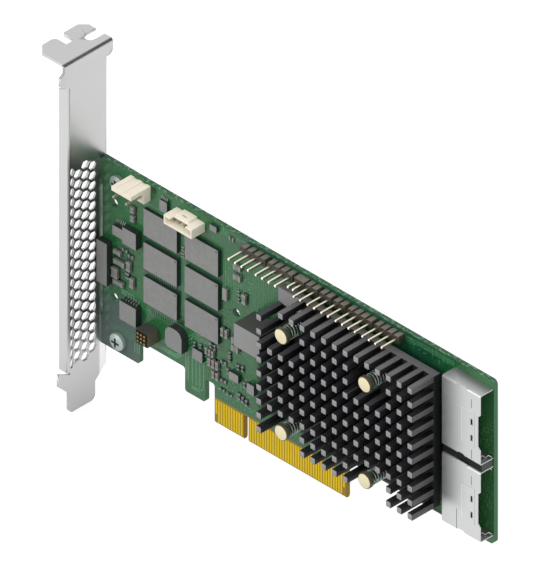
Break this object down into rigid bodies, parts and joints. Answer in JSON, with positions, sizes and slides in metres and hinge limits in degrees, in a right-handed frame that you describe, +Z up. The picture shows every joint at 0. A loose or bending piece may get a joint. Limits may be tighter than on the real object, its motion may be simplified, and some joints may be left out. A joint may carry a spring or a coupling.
{
  "type": "raid controller card",
  "caption": "Half-length drive controller card: slot bracket with honeycomb vents, edge connector, pin-fin heat sink, memory chips, pin headers and shielded rear sockets.",
  "frame": {"origin": "middle of the edge connector's key notch, on the connector's bottom edge, halfway through the board", "axes": "+X from the bracket to the rear edge, -Y out of the component side, +Z up, away from the slot"},
  "size_m": [0.1674, 0.0216, 0.12],
  "materials": {
    "board": "green solder mask on glass fibre board",
    "gold": "gold plated",
    "bracket": "satin nickel plate",
    "screw": "nickel plated",
    "substrate": "green carrier",
    "nickel": "satin nickel plate",
    "thermal_pad": "soft",
    "heat_sink": "dark grey anodised",
    "push_pin": "cream nylon",
    "spring": "plated wire",
    "shell": "stamped and tin plated",
    "black_plastic": "moulded",
    "cream_plastic": "moulded",
    "tin": "tin plated",
    "chip": "moulded",
    "ferrite": "pressed iron powder",
    "ceramic": "tan ceramic with tinned ends",
    "resistor": "glazed, with tinned ends"
  },
  "bodies": {
    "root": {"printed_circuit_board": "board", "edge_contacts_component_side": "gold", "edge_contacts_solder_side": "gold", "mounting_bracket": "bracket", "bracket_screws": "screw", "processor_substrate": "substrate", "processor_lid": "nickel", "thermal_pad": "thermal_pad", "heat_sink": "heat_sink", "push_pins": "push_pin", "push_pin_springs": "spring", "decoupling_capacitors": "ceramic", "lower_socket_shell": "shell", "upper_socket_shell": "shell", "lower_socket_housing": "black_plastic", "upper_socket_housing": "black_plastic", "lower_socket_contacts": "gold", "upper_socket_contacts": "gold", "socket_divider": "black_plastic", "jumper_header": "black_plastic", "header_pins": "gold", "fan_header": "cream_plastic", "fan_header_pins": "tin", "cable_header": "cream_plastic", "cable_header_pins": "tin", "service_socket": "chip", "service_socket_contacts": "gold", "side_memory_chip": "chip", "buffer_chip": "chip", "buffer_chip_legs": "tin", "clock_chip": "chip", "monitor_chip": "chip", "sensor_chip": "chip", "crystal": "nickel", "left_coil": "ferrite", "right_coil": "ferrite", "buzzer": "black_plastic", "power_switch": "chip", "power_choke": "ferrite", "ceramic_capacitors": "ceramic", "chip_resistors": "resistor", "memory_chip_1": "chip", "memory_chip_2": "chip", "memory_chip_3": "chip", "memory_chip_4": "chip", "memory_chip_5": "chip", "memory_chip_6": "chip", "pin_header_1": "black_plastic", "pin_header_2": "black_plastic", "pin_header_3": "black_plastic", "pin_header_4": "black_plastic", "pin_header_5": "black_plastic", "pin_header_6": "black_plastic", "pin_header_7": "black_plastic"}
  },
  "joints": []
}
